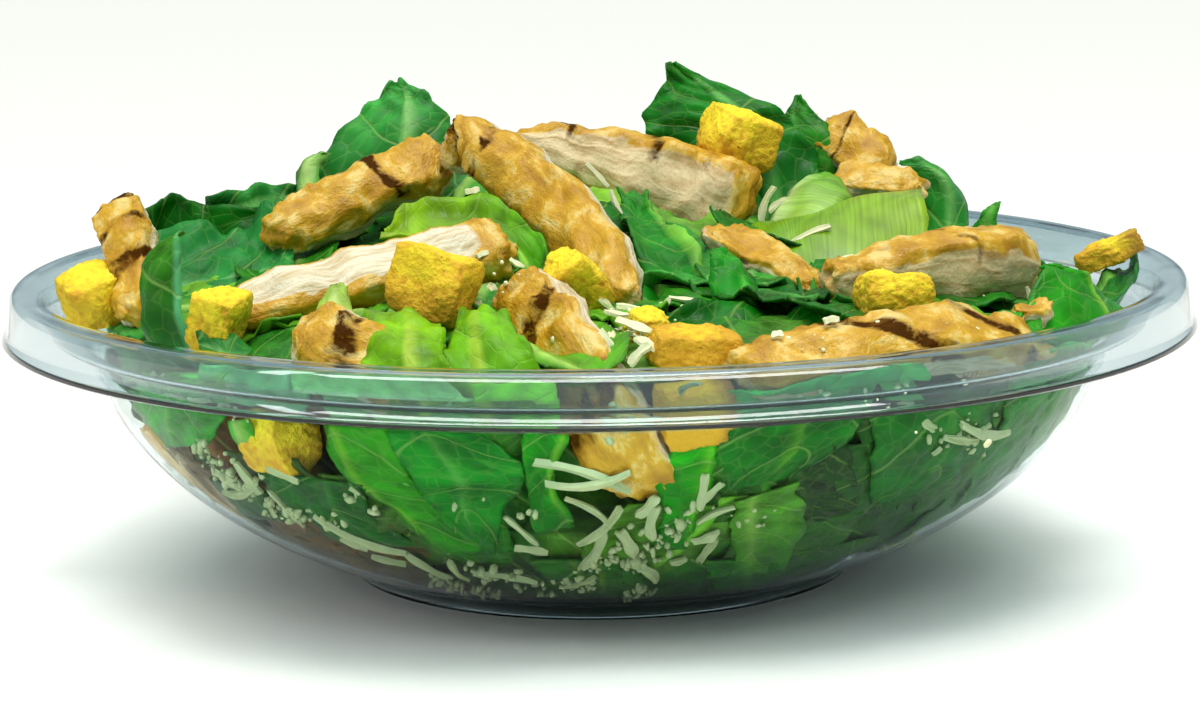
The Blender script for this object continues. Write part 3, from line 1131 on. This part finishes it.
def add_leaf(bm, place, length, width, look, seed, cell, light=1.0):
    """Adds one leaf: a grid bent to its place, with its colours and its veins' map kept on its points."""
    root, tip, pale, rib_at, rib_half, crinkle = look
    root, tip, pale = srgb(root), srgb(tip), srgb(pale)
    tone = bm.verts.layers.float_color["tone"]
    veins = bm.verts.layers.float_vector["veins"]
    cells = (max(6, round(length / cell)), max(5, round(width / cell)))
    made = bmesh.ops.create_grid(bm, x_segments=cells[0], y_segments=cells[1], size=1.0)["verts"]
    for vert in made:
        along, across = (vert.co.x + 1) / 2, vert.co.y
        x = (across - rib_at) * width / 2
        y = along * length
        drift = noise.noise(Vector((x / 9, y / 9, seed)))
        passed = (y - 0.85 * abs(x)) / VEIN_SPACING + 0.6 * drift + seed * 0.37
        off_vein = abs(passed - round(passed)) * 2
        blister = crinkle * (off_vein ** 0.6) * (0.75 + 0.7 * noise.noise(Vector((x / 4, y / 4, seed + 5))))
        frill = 1.3 * math.sin(y / 2.9 + 3 * drift + seed) + 0.7 * math.sin(y / 1.2 + 5 * drift)
        tip_frill = smoothstep(0.7, 1.0, along) * math.sin(x / 1.7 + 4 * drift)
        frill *= abs(across) ** 4 * smoothstep(1.05, 0.75, along)
        frill = crinkle * (frill + 0.35 * tip_frill)
        fold = crinkle * 1.5 * (0.35 - abs(noise.noise(Vector((x / 7, y / 9, seed + 23)))))
        rib = smoothstep(rib_half * 1.4, rib_half * 0.5, abs(x)) * smoothstep(1.05, 0.55, along)
        moved = ragged(along, across, length, width, seed)
        vert.co = place(*moved, blister + frill + fold + rib * 0.6)
        colour = blend(root, tip, along)
        shade = 0.80 + 0.24 * off_vein ** 0.5 + 0.22 * noise.noise(Vector((x / 7, y / 7, seed + 11)))
        colour = blend(tuple(part * shade for part in colour[:3]), pale[:3], rib * 0.85)
        colour = tuple(part * light for part in colour)
        vert[tone] = (*colour, rib)
        vert[veins] = (x + seed * 50, y, passed)


def leaf_size(rows):
    """The rough length and width of a leaf given by rows of points."""
    middles = [(Vector(left) + Vector(right)) / 2 for left, right in rows]
    length = sum((b - a).length for a, b in zip(middles, middles[1:]))
    width = sum((Vector(right) - Vector(left)).length for left, right in rows) / len(rows)
    return length, width


def leaf_mesh():
    """An empty mesh whose points will keep colours and a map of veins."""
    bm = bmesh.new()
    bm.verts.layers.float_color.new("tone")
    bm.verts.layers.float_vector.new("veins")
    return bm


def lying_leaf(x, y, heading, length, width):
    """The edges of a leaf that lies on the dome with its root sunk in it."""
    ahead = Vector((math.cos(math.radians(heading)), math.sin(math.radians(heading)), 0))
    aside = Vector((ahead.y, -ahead.x, 0))
    rows = []
    for share, half, rise in zip((-0.5, 0, 0.5), LYING_HALF, LYING_LIFT):
        middle = Vector((x, y, 0)) + ahead * length * share
        edges = (middle - aside * width * half, middle + aside * width * half)
        rows.append(tuple(Vector((edge.x, edge.y, dome_z(edge.x, edge.y) + rise)) for edge in edges))
    return rows


def make_top_leaves(material, stalk_material):
    """The leaves that stand or lie on the salad, and the thick stalk pieces among them."""
    blades, stalks = leaf_mesh(), leaf_mesh()
    on_top = [(name, *leaf) for name, leaf in TOP_LEAVES.items()]
    for index, spot in enumerate(LYING_LEAVES):
        on_top.append((f"lying_{index:02d}", LYING_BULGE, LEAF_THICKNESS, lying_leaf(*spot)))
    for seed, (name, bulge, thickness, rows) in enumerate(on_top):
        waves = leaf_waves(seed)
        length, width = leaf_size(rows)

        def place(along, across, raised):
            point = top_leaf_point(rows, bulge, waves, along, across, raised)
            return kept_inside(point, GAP + thickness * LEAF_MARGIN)

        look = LEAF_LOOKS.get(name, PLAIN_LEAF)
        add_leaf(stalks if thickness > 2 else blades, place, length, width, look, seed, LEAF_CELL)
    made = object_from(blades, "romaine_leaves_on_top", material, "lettuce", sheet=LEAF_SHEET)
    made = object_from(stalks, "romaine_stalk_pieces", stalk_material, "lettuce", sheet=STALK_SHEET)


def topping_tree():
    """Points through every topping's middle, each with the radius that it fills."""
    spots = []
    for points, widths, heights, _ in CHICKEN.values():
        for step in range(13):
            share = step / 12
            thick = min(first + (last - first) * share for first, last in (widths, heights))
            spots.append((curve_point(points, share), thick / 2))
    for centre, size, _ in CROUTONS.values():
        spots.append((Vector(centre), min(size) / 2))
    tree = kdtree.KDTree(len(spots))
    for index, (point, _) in enumerate(spots):
        tree.insert(Vector((point.x, point.y, 0)), index)
    tree.balance()
    return tree, spots


def make_chopped_leaves(material):
    """Small chopped leaves that cover the core's top between the larger pieces."""
    bm = leaf_mesh()
    tree, spots = topping_tree()
    draw = random.Random(CHOPPED_SEED)
    for index in range(CHOPPED_COUNT):
        reach = CHOPPED_REACH * math.sqrt((index + 0.5) / CHOPPED_COUNT)
        azimuth = index * EVEN_TURN
        x = reach * math.cos(azimuth)
        y = reach * math.sin(azimuth)
        if any(math.hypot(x - bare_x, y - bare_y) < bare for bare_x, bare_y, bare in BARE_SPOTS):
            continue
        heading = draw.uniform(0, 2 * math.pi)
        length, width = draw.uniform(*CHOPPED_LENGTHS), draw.uniform(*CHOPPED_WIDTHS)
        tilt, curl, seed = draw.uniform(-0.06, 0.12), draw.uniform(-0.012, 0.02), 200 + index
        ahead = Vector((math.cos(heading), math.sin(heading), 0))
        aside = Vector((ahead.y, -ahead.x, 0))

        def place(along, across, raised):
            shape = 1 - 0.55 * abs(2 * along - 1) ** 3
            spot = Vector((x, y, 0)) + ahead * (along - 0.5) * length + aside * across * width / 2 * shape
            reach_here = math.hypot(spot.x, spot.y)
            if reach_here > CHOPPED_FARTHEST:
                spot *= CHOPPED_FARTHEST / reach_here
            z = dome_z(spot.x, spot.y) + CHOPPED_LIFT + tilt * (along - 0.5) * length
            z += curl * (across * width / 2) ** 2 + raised
            _, which, distance = tree.find(Vector((spot.x, spot.y, 0)))
            middle, radius = spots[which]
            if distance < radius + 1.5 and middle.z + radius > z:
                z = min(z, middle.z - radius * 0.8)
            return kept_inside(Vector((spot.x, spot.y, z)), GAP + 1.0)

        look = (*draw.choice(CHOPPED_PALETTE), draw.uniform(-0.6, 0.6))
        look += (draw.uniform(0.4, 1.0), draw.uniform(0.4, 1.0))
        add_leaf(bm, place, length, width, look, seed, SMALL_LEAF_CELL)
    made = object_from(bm, "chopped_romaine_on_top", material, "lettuce", sheet=LEAF_SHEET)


def in_pocket(azimuth, z, half):
    """Whether a leaf of that half width would cover one of the core's hollows."""
    return any(abs(azimuth - turn) < half + reach and low < z < high for turn, reach, low, high, _ in POCKETS)


def make_wall_leaves(material):
    """The leaves pressed against the bowl's wall, and darker ones behind them."""
    front, behind = leaf_mesh(), leaf_mesh()
    pressed = [(rows, LEAF_LOOKS.get(name, PLAIN_LEAF)) for name, rows in WALL_LEAVES.items()]
    pressed += list(RIM_LEAVES.values())
    for seed, (rows, look) in enumerate(pressed):
        add_wall_leaf(front, rows, look, 40 + seed, 0.0, LEAF_CELL)
    draw = random.Random(BACKING_SEED)
    for index in range(WALL_BACKING_COUNT):
        azimuth = -180 + 360 * (index + draw.uniform(0, 1)) / WALL_BACKING_COUNT
        z = draw.uniform(9, 44)
        half = draw.uniform(5, 9) * (1.6 if z < 20 else 1.0)
        tall = draw.uniform(6, 10)
        slant = draw.uniform(-6, 6)
        if in_pocket(azimuth, z, half):
            continue
        rows = [
            (
                (azimuth - half + slant, min(WALL_LEAF_HIGHEST, z + tall)),
                (azimuth + half + slant, min(WALL_LEAF_HIGHEST, z + tall + 1)),
            ),
            ((azimuth - half * 1.2, z), (azimuth + half * 1.1, z + draw.uniform(-2, 2))),
            (
                (azimuth - half * 0.8 - slant, max(WALL_LEAF_LOWEST, z - tall)),
                (azimuth + half * 0.8 - slant, max(WALL_LEAF_LOWEST, z - tall + 1)),
            ),
        ]
        shown = FRONT_WALL[0] < azimuth < FRONT_WALL[1]
        colour = wall_tone(azimuth, z)
        tint = draw.uniform(0.8, 1.35)
        toned = shown or draw.random() < 0.35
        look = hex_look(colour, tint, draw) if toned else draw.choice(SIDE_LOOKS)
        inset = BACKING_INSET if shown else 0.2 + 0.8 * draw.random()
        add_wall_leaf(behind, rows, look, 90 + index, inset, SMALL_LEAF_CELL)
    made = object_from(front, "romaine_leaves_on_wall", material, "lettuce", sheet=LEAF_SHEET)
    made = object_from(behind, "romaine_leaves_behind_wall", material, "lettuce", sheet=LEAF_SHEET)


def hex_look(colour, tint, draw):
    """A leaf's look from one linear colour."""
    def code(scale):
        parts = [min(1.0, part * scale) for part in colour[:3]]
        parts = [12.92 * c if c <= 0.0031308 else 1.055 * c ** (1 / 2.4) - 0.055 for c in parts]
        return "#" + "".join(f"{round(part * 255):02X}" for part in parts)

    return (code(tint), code(tint * 0.8), code(tint * 2.2), draw.uniform(-0.6, 0.6), 0.6, 0.6)


def add_wall_leaf(bm, rows, look, seed, inset, cell):
    """Adds a leaf pressed on the wall."""
    waves = leaf_waves(seed)
    solid = [[wall_place(*left, 1.0), wall_place(*right, 1.0)] for left, right in rows]
    length, width = leaf_size(solid)

    def place(along, across, raised):
        return wall_leaf_point(rows, waves, along, across, inset + 1.0 - min(1.0, max(0.0, raised)))

    add_leaf(bm, place, length, width, look, seed, cell, WALL_LEAF_LIGHT)


# Cheese


def add_shred(bm, start, end, width, outward, seed):
    """Adds a curved shred between two points."""
    draw = random.Random(seed)
    span = end - start
    along = span.normalized()
    across = outward.cross(along).normalized()
    up = along.cross(across)
    bow, rise = draw.uniform(-0.12, 0.12) * span.length, draw.uniform(0.0, 0.06) * span.length
    for vert in bmesh.ops.create_grid(bm, x_segments=7, y_segments=2, size=0.5)["verts"]:
        x, y, _ = vert.co
        arch = 1 - 4 * x * x
        thin = 1 - 0.3 * abs(2 * x) ** 5 + 0.2 * math.sin(9 * x + seed)
        point = (start + end) / 2 + along * x * span.length
        point += across * (y * min(SHRED_WIDEST, 0.85 * width) * thin + bow * arch)
        vert.co = point + up * (rise * arch + 0.3 * math.cos(5 * y + seed))


def add_wall_shred(bm, start, end, width, seed):
    """Adds a shred that clings to the wall, its ends given as azimuth and height."""
    ends = (wall_place(*start, GAP + 0.5), wall_place(*end, GAP + 0.5))
    outward = (ends[0] + ends[1]) / 2 - Vector(WALL_SHRED_CENTRE)
    add_shred(bm, *ends, width, outward, seed)


def add_crumb(bm, point, size, draw):
    """Adds a crumb of uneven shape."""
    made = bmesh.ops.create_icosphere(bm, subdivisions=1, radius=size / 2)["verts"]
    shape = Matrix.Diagonal((draw.uniform(0.6, 1.7), draw.uniform(0.6, 1.3), draw.uniform(0.5, 0.9)))
    turn = Euler([draw.uniform(0, 6.28) for _ in range(3)]).to_matrix()
    for vert in made:
        vert.co = point + turn @ (shape @ vert.co)


def make_cheese(dry, soaked):
    """Shreds and crumbs of hard cheese, against the wall and on top."""
    pressed, pressed_crumbs, loose, crumbs = [bmesh.new() for _ in range(4)]
    draw = random.Random(CHEESE_SEED)
    for seed, (start, end, width) in enumerate(WALL_SHREDS):
        add_wall_shred(pressed, start, end, width, seed)
    for index in range(WALL_STRAY_COUNT):
        azimuth = -15 + 215 * (index + draw.random()) / WALL_STRAY_COUNT
        z = draw.uniform(10, 45)
        turn, reach = draw.uniform(-1, 1), draw.uniform(3, 8)
        tail = (azimuth + 0.6 * reach * math.cos(turn), z + reach * math.sin(turn) * 0.8)
        add_wall_shred(pressed, (azimuth, z), tail, draw.uniform(1.2, 2.2), 300 + index)
    for seed, (start, end, width) in enumerate(TOP_SHREDS):
        add_shred(loose, Vector(start), Vector(end), width, Vector(SHRED_OUTWARD), 100 + seed)
    tree, spots = topping_tree()
    for index in range(TOP_STRAY_COUNT):
        azimuth = index * EVEN_TURN + 0.7
        reach = TOP_STRAY_REACH * math.sqrt((index + 0.5) / TOP_STRAY_COUNT)
        point = Vector((reach * math.cos(azimuth), reach * math.sin(azimuth), 0))
        _, which, distance = tree.find(point)
        if distance < spots[which][1] + 2 or -96 < point.y - 0.4 * abs(point.x) < -14:
            continue
        turn = draw.uniform(0, math.pi)
        span = Vector((math.cos(turn), math.sin(turn), draw.uniform(-0.1, 0.1))) * draw.uniform(4, 9)
        point.z = dome_z(point.x, point.y) + TOP_STRAY_LIFT
        width = draw.uniform(1.1, 2.0)
        add_shred(loose, point - span / 2, point + span / 2, width, UPWARDS, 400 + index)
    for azimuth, z, count in CRUMB_SPOTS:
        for _ in range(count):
            spot = (azimuth + draw.gauss(0, 1.8), z + draw.gauss(0, 1.7))
            add_crumb(pressed_crumbs, wall_place(*spot, GAP + 0.7), draw.uniform(0.6, 2.0), draw)
    for centre, reach, count in TOP_CRUMB_SPOTS:
        for _ in range(count):
            point = Vector(centre) + Vector((draw.gauss(0, reach / 2), draw.gauss(0, reach / 2), 0))
            point.z = surface_z(point, tree, spots)
            add_crumb(crumbs, point, draw.uniform(0.5, 1.5), draw)
    object_from(loose, "shredded_cheese_on_top", dry, "lettuce", sheet=SHRED_THICK, smooth=False)
    object_from(crumbs, "cheese_crumbs_on_top", dry, "lettuce")
    object_from(pressed, "shredded_cheese_on_wall", soaked, "lettuce", sheet=SHRED_THICK, smooth=False)
    object_from(pressed_crumbs, "cheese_crumbs_on_wall", soaked, "lettuce")


def surface_z(point, tree, spots):
    """The height of what lies at a place of the top: a topping's back or the chopped leaves."""
    _, which, distance = tree.find(Vector((point.x, point.y, 0)))
    middle, radius = spots[which]
    if distance < radius:
        return middle.z + math.sqrt(radius * radius - distance * distance)
    return dome_z(point.x, point.y) + CRUMB_LIFT


# Chicken and croutons


def boxed(cuts_along, cuts_across):
    """A cube from -1 to 1 with its edges cut into a grid."""
    bm = bmesh.new()
    bmesh.ops.create_cube(bm, size=2.0)
    long_edges = [e for e in bm.edges if abs(e.verts[0].co.x - e.verts[1].co.x) > 1]
    bmesh.ops.subdivide_edges(bm, edges=long_edges, cuts=cuts_along, use_grid_fill=True)
    cross_edges = [e for e in bm.edges if abs(e.verts[0].co.x - e.verts[1].co.x) < 1e-4]
    bmesh.ops.subdivide_edges(bm, edges=cross_edges, cuts=cuts_across, use_grid_fill=True)
    return bm


def strip_point(strip, seed, cube):
    """A point of a chicken slice from a point of the cube -1 to 1, and the way out of its middle there."""
    points, widths, heights, seared = strip
    along, across, up = cube
    share = (along + 1) / 2
    line = curve_point(points, share)
    tangent = curve_point(points, min(1, share + STEP)) - curve_point(points, max(0, share - STEP))
    tangent.normalize()
    side = tangent.cross(Vector(seared)).normalized()
    normal = side.cross(tangent)
    narrowed = across * math.sqrt(1 - SECTION_ROUNDING * up * up / 2)
    raised = up * math.sqrt(1 - SECTION_ROUNDING * across * across / 2)
    taper = 1 - STRIP_TAPER * abs(along) ** 6
    bulge = STRIP_END_BULGE * (across * across + up * up) * abs(along) ** 4
    width = widths[0] + (widths[1] - widths[0]) * share
    height = heights[0] + (heights[1] - heights[0]) * share
    point = line - tangent * math.copysign(bulge, along)
    point += side * narrowed * taper * width / 2 + normal * raised * taper * height / 2
    place = point / CHICKEN_LUMP + Vector((seed * 3.1, 0, 0))
    out = side * across * abs(across) + normal * up * abs(up) + tangent * along * abs(along) ** 7
    out.normalize()
    return point + noise.noise_vector(place) * CHICKEN_RELIEF, out


def make_slice(name, strip, seed, material):
    """One slice: torn and lumpy at its edges, stringy where it was cut, barred where the grill touched."""
    bm = boxed(*SLICE_CUTS)
    finish = bm.verts.layers.float_color.new("finish")
    grain = bm.verts.layers.float_vector.new("grain")
    points, widths, heights, _ = strip
    length = sum((Vector(b) - Vector(a)).length for a, b in zip(points, points[1:]))
    reach = SKIN_REACH.get(name, USUAL_SKIN_REACH)
    pale = CUT_PALENESS.get(name, USUAL_PALENESS)
    browned_end = BROWNED_END.get(name, NO_BROWNED_END)
    for vert in bm.verts:
        along, across, up = cube = tuple(vert.co)
        spot = Vector((along * length / 2, across * widths[0] / 2, up * heights[0] / 2))
        spot.x += seed * 60
        point, out = strip_point(strip, seed, cube)
        cut = smoothstep(0.9, 1.0, abs(across))
        strand = noise.noise(Vector((spot.x / 7.0, spot.y / 1.3, spot.z / 1.3)))
        lump = noise.noise(spot / 3.0 + Vector((0, 5, 0)))
        nub = noise.noise(spot / 1.4 + Vector((3, 0, 9)))
        torn = smoothstep(0.86, 1.0, abs(along)) * noise.noise(spot / 2.2 + Vector((0, 0, 21)))
        corner = smoothstep(0.55, 1.0, abs(across)) * smoothstep(0.5, 1.0, up)
        tear = corner * noise.noise(spot / 1.9 + Vector((11, 0, 2)))
        raised = 0.6 * lump + 0.4 * nub + (0.45 * cut + 0.05) * strand + 1.8 * torn + 1.0 * tear
        skin = smoothstep(0.86 - 1.3 * reach, 0.98 - 0.9 * reach, up + 0.22 * lump + 0.1 * nub)
        under = 0.7 * smoothstep(0.9, 1.0, -up)
        end = max(smoothstep(*browned_end, along), 0.45 * smoothstep(0.9, 1.0, abs(along)))
        browned = max(skin, under, end)
        char = 0.0
        for place, half, slant, depth in GRILL_MARKS.get(name, []):
            off = abs(along - place - slant * across * 0.5 + 0.05 * lump + 0.03 * nub)
            worn = 0.75 + 0.7 * noise.noise(spot / 2.8 + Vector((0, 17, 5)))
            touched = smoothstep(0.1, 0.7, up + 0.3 * reach)
            char = max(char, depth * worn * smoothstep(half * 1.4, half * 0.5, off) * touched)
        crease = smoothstep(0.3, 1.1, -(lump + 0.6 * strand))
        vert.co = kept_inside(point + out * (raised * 0.8 - 0.25 * char), GAP + TOPPING_MARGIN)
        vert[finish] = (browned, char, 0.6 * crease, pale)
        vert[grain] = spot
    bmesh.ops.recalc_face_normals(bm, faces=bm.faces)
    made = object_from(bm, name.replace("chicken", "chicken_slice"), material, name)


def crouton_point(crouton, seed, cube):
    """A point of a crouton from a point of the cube -1 to 1, with worn corners and a rough crumb."""
    centre, size, turn = crouton
    x, y, z = cube
    worn = Vector((
        x * math.sqrt(1 - CROUTON_ROUNDING * (y * y + z * z) / 2),
        y * math.sqrt(1 - CROUTON_ROUNDING * (x * x + z * z) / 2),
        z * math.sqrt(1 - CROUTON_ROUNDING * (x * x + y * y) / 2),
    ))
    worn = Vector([worn[axis] * size[axis] / 2 for axis in range(3)])
    worn.rotate(Euler([math.radians(angle) for angle in turn]))
    point = worn + Vector(centre)
    rough = noise.noise(point / CROUTON_LUMP + Vector((seed * 5.3, 0, 0)))
    return point + worn.normalized() * rough * CROUTON_RELIEF, worn.normalized()


def make_crouton(name, crouton, seed, material):
    """One crouton with an open, crumbly face and browner corners."""
    bm = boxed(CROUTON_FINE_CUTS, CROUTON_FINE_CUTS)
    finish = bm.verts.layers.float_color.new("finish")
    browned = CROUTON_BROWN.get(name, USUAL_BROWN)
    for vert in bm.verts:
        cube = tuple(vert.co)
        point, out = crouton_point(crouton, seed, cube)
        pores = max(0.0, noise.noise(point / 1.1)) ** 0.7
        grit = noise.noise(point / 0.7)
        corner = sum(part * part for part in cube) / 3
        lit = smoothstep(-0.2, 0.9, out.z)
        toast = browned[0] + 0.5 * corner ** 3 - 0.45 * lit + 0.5 * pores
        end = browned[1] * smoothstep(0.2, 0.9, cube[0])
        vert.co = kept_inside(point + out * (0.3 * grit - 0.45 * pores + 0.15), GAP + TOPPING_MARGIN)
        vert[finish] = (min(1.0, max(0.0, toast)), min(1.0, max(0.0, end)), 0.0, 1.0)
    bmesh.ops.recalc_face_normals(bm, faces=bm.faces)
    object_from(bm, name + "_toasted", material, name)


# Floor, light and camera


def make_stage():
    """The white floor."""
    bm = bmesh.new()
    bmesh.ops.create_grid(bm, x_segments=1, y_segments=1, size=FLOOR_HALF_SIZE)
    mesh = bpy.data.meshes.new("floor")
    bm.to_mesh(mesh)
    bm.free()
    floor = bpy.data.objects.new("floor", mesh)
    bpy.context.scene.collection.objects.link(floor)
    material, _, shader = new_material("matt_white_floor")
    shader.inputs["Base Color"].default_value = srgb(FLOOR_COLOUR)
    shader.inputs["Roughness"].default_value = 0.9
    mesh.materials.append(material)


def soft_light(name, place, size, power):
    """A rectangular lamp that faces the salad."""
    lamp = bpy.data.lights.new(name, "AREA")
    lamp.shape = "RECTANGLE"
    lamp.size, lamp.size_y = size
    lamp.energy = power
    obj = bpy.data.objects.new(name, lamp)
    obj.location = place
    obj.rotation_mode = "QUATERNION"
    obj.rotation_quaternion = (Vector(LIGHT_TARGET) - Vector(place)).to_track_quat("-Z", "Y")
    bpy.context.scene.collection.objects.link(obj)
    return obj


def make_light(bowl):
    """Soft studio light, and a strip that lights the bowl alone, for the bright lines along its rim."""
    alone = bpy.data.collections.new("bowl_only")
    alone.objects.link(bowl)
    world = bpy.data.worlds.new("studio")
    world.use_nodes = True
    surround = world.node_tree.nodes["Background"].inputs
    surround["Color"].default_value = srgb(SURROUND_COLOUR)
    surround["Strength"].default_value = 1.0
    bpy.context.scene.world = world
    bpy.context.scene.view_settings.view_transform = "Standard"
    bpy.context.scene.view_settings.look = "None"
    sun = bpy.data.lights.new("wide_ceiling", "SUN")
    sun.energy = CEILING_STRENGTH
    sun.color = CEILING_COLOUR
    sun.angle = math.radians(CEILING_SPREAD)
    ceiling = bpy.data.objects.new("wide_ceiling", sun)
    bpy.context.scene.collection.objects.link(ceiling)
    soft_light("overhead_softbox", *OVERHEAD_SOFTBOX)
    soft_light("left_softbox", *LEFT_SOFTBOX)
    strip = soft_light("rim_strip", *RIM_STRIP)
    strip.light_linking.receiver_collection = alone
    strip.visible_transmission = False


def make_camera():
    """The one camera, set from the values above."""
    camera = bpy.data.cameras.new("camera")
    camera.lens = CAMERA_LENS
    camera.sensor_width = 36.0
    camera.clip_start = 0.01
    camera.clip_end = 50.0
    obj = bpy.data.objects.new("camera", camera)
    tilt = math.radians(CAMERA_ELEVATION)
    target = Vector((0, 0, CAMERA_TARGET_Z))
    obj.location = target + Vector((0, -math.cos(tilt), math.sin(tilt))) * CAMERA_DISTANCE
    obj.rotation_mode = "QUATERNION"
    facing = (target - obj.location).to_track_quat("-Z", "Y")
    obj.rotation_quaternion = facing @ Quaternion((0, 0, 1), math.radians(CAMERA_ROLL))
    bpy.context.scene.collection.objects.link(obj)
    bpy.context.scene.camera = obj


def main():
    """Makes everything."""
    noise.seed_set(NOISE_SEED)
    wall = formed_pet("vacuum_formed_clear_pet", "#EEF5F6", 1.07)
    rim = formed_pet("vacuum_formed_clear_pet_rim", "#D0DEE1", 1.5)
    leaf, stalk = romaine_blade(), romaine_midrib()
    dry = hard_cheese("shredded_hard_cheese", "#DADC9E", "#F6F0CC")
    soaked = hard_cheese("soaked_hard_cheese", "#93A86C", "#C6CE9A")
    chicken, bread = grilled_breast(), toasted_crouton()
    make_camera()
    make_light(make_bowl(wall, rim))
    make_stage()
    make_core(leaf)
    make_top_leaves(leaf, stalk)
    make_chopped_leaves(leaf)
    make_wall_leaves(leaf)
    make_cheese(dry, soaked)
    for seed, (name, strip) in enumerate(CHICKEN.items()):
        make_slice(name, strip, seed, chicken)
    for seed, (name, crouton) in enumerate(CROUTONS.items()):
        make_crouton(name, crouton, seed, bread)


main()
